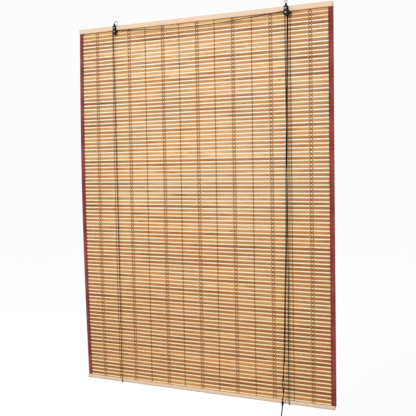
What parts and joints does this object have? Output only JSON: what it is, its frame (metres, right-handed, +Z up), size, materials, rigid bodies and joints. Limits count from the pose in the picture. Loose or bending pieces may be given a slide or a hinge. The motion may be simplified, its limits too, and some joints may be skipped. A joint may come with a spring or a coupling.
{
  "type": "rattan roll-up blind",
  "caption": "Roll-up window blind: woven slat and reed mat with cloth-bound edges between wooden rails, raised by two cords over headrail pulleys with a cord lock.",
  "frame": {"origin": "middle of the flat back face of the headrail, which lies against the wall or the window frame", "axes": "+X to the viewer's right, -Y towards the room, +Z up along the drop of the blind"},
  "size_m": [1.2, 0.0535, 1.7288],
  "materials": {
    "pine": "pale planed pine, unvarnished",
    "rattan": "brown split slats by turns with cream peeled reeds",
    "thread": "twisted brown cotton",
    "edge_tape": "plain woven burgundy cotton tape",
    "black_metal": "satin black paint",
    "black_plastic": "moulded",
    "bright_steel": "zinc plated",
    "wire_steel": "drawn wire, dull zinc",
    "tack_steel": "plain",
    "cord": "braided dark brown cotton"
  },
  "bodies": {
    "blind": {"headrail": "pine", "headrail_back_batten": "pine", "headrail_tacks": "tack_steel", "mat": "rattan", "binding_threads": "thread", "edge_binding_left": "edge_tape", "edge_binding_right": "edge_tape", "bottom_rail": "pine", "bottom_rail_back_strip": "pine", "bottom_rail_tacks": "tack_steel", "pulley_bracket_left": "black_metal", "pulley_bracket_right": "black_metal", "bracket_screw_left": "bright_steel", "bracket_screw_right": "bright_steel", "pulley_axle_left": "bright_steel", "pulley_axle_right": "bright_steel", "lock_lever_pin": "black_metal", "left_cord": "cord", "right_cord": "cord", "anchor_knot_left": "cord", "anchor_knot_right": "cord", "pull_cord_knot": "cord", "pull_cord_tail": "cord", "tail_knot": "cord"},
    "left_wheel": {"pulley_wheel_left": "black_plastic"},
    "right_front_wheel": {"pulley_wheel_right_front": "black_plastic"},
    "right_rear_wheel": {"pulley_wheel_right_rear": "black_plastic"},
    "left_hook": {"hanger_hook_left": "wire_steel"},
    "right_eye": {"hanger_eye_right": "wire_steel"},
    "lock_lever": {"lock_lever": "black_metal"}
  },
  "joints": [
    {"name": "right_front_wheel_spin", "type": "hinge", "parent": "blind", "child": "right_front_wheel", "pos_m": [0.411, -0.0368, -0.016], "axis": [0, 1, 0], "continuous": true},
    {"name": "right_rear_wheel_spin", "type": "hinge", "parent": "blind", "child": "right_rear_wheel", "pos_m": [0.411, -0.0313, -0.016], "axis": [0, 1, 0], "continuous": true},
    {"name": "left_wheel_spin", "type": "hinge", "parent": "blind", "child": "left_wheel", "pos_m": [-0.404, -0.0313, -0.016], "axis": [0, 1, 0], "continuous": true},
    {"name": "left_hook_swivel", "type": "hinge", "parent": "blind", "child": "left_hook", "pos_m": [-0.404, -0.0313, 0.018], "axis": [0, 0, 1], "continuous": true},
    {"name": "right_eye_swivel", "type": "hinge", "parent": "blind", "child": "right_eye", "pos_m": [0.411, -0.03405, 0.018], "axis": [0, 0, 1], "continuous": true},
    {"name": "lock_lever_swing", "type": "hinge", "parent": "blind", "child": "lock_lever", "pos_m": [0.4255, -0.03405, -0.014], "axis": [0, 1, 0], "range_deg": [-70, 5]}
  ],
  "couplings": [
    {"joint": "right_rear_wheel_spin", "follows": "right_front_wheel_spin", "ratio": 1},
    {"joint": "left_wheel_spin", "follows": "right_front_wheel_spin", "ratio": 1}
  ]
}
